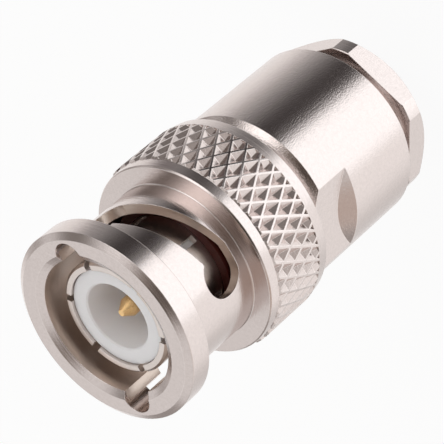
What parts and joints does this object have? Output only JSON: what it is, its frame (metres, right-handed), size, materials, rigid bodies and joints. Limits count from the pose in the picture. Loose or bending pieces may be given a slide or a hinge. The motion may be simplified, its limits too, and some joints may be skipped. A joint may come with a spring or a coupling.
{
  "type": "bayonet coaxial plug",
  "caption": "Straight coaxial cable plug with a knurled turning bayonet nut, slotted outer contact, centre pin and a screwed cable clamp.",
  "frame": {"origin": "centre of the clamp nut's flat rear face, where the cable leaves and the part stands", "axes": "+Z along the plug's axis towards the mating end; X and Y lie across it, with the bayonet entries at -25.5 and 154.5 degrees from +X"},
  "size_m": [0.0144, 0.0144, 0.0279],
  "materials": {
    "nickel_plate": "satin nickel plate over brass",
    "contact_plate": "bright silver-grey plate over bronze",
    "gold_plate": "gold plate over brass",
    "white_insulator": "white fluoropolymer, waxy",
    "red_silicone": "dark red silicone rubber, satin",
    "spring_bronze": "bare spring bronze sheet"
  },
  "bodies": {
    "shell": {"main_body": "nickel_plate", "outer_contact": "contact_plate", "front_insulator": "white_insulator", "rear_insulator": "white_insulator", "centre_contact": "gold_plate", "interface_gasket": "red_silicone", "front_thrust_washer": "spring_bronze", "wave_washer": "spring_bronze", "braid_clamp": "nickel_plate", "cable_gasket": "red_silicone"},
    "nut_carrier": {"rear_thrust_washer": "spring_bronze"},
    "coupling": {"coupling_nut": "nickel_plate"},
    "clamp_follower": {"slip_washer": "nickel_plate"},
    "clamp": {"clamp_nut": "nickel_plate"}
  },
  "joints": [
    {"name": "coupling_push", "type": "slide", "parent": "shell", "child": "nut_carrier", "axis": [0, 0, 1], "range_m": [0, 0.0005], "stiffness_N_per_m": 3000, "springref_m": -0.0005, "deforming": ["wave_washer"]},
    {"name": "coupling_turn", "type": "hinge", "parent": "nut_carrier", "child": "coupling", "pos_m": [0, 0, 0.0142], "axis": [0, 0, 1], "continuous": true},
    {"name": "clamp_travel", "type": "slide", "parent": "shell", "child": "clamp_follower", "axis": [0, 0, -1], "range_m": [0, 0.00225]},
    {"name": "clamp_screw", "type": "hinge", "parent": "clamp_follower", "child": "clamp", "pos_m": [0, 0, 0.003], "axis": [0, 0, -1], "range_deg": [0, 1080]}
  ],
  "couplings": [
    {"joint": "clamp_screw", "follows": "clamp_travel", "rad_per_m": 8377.6}
  ]
}
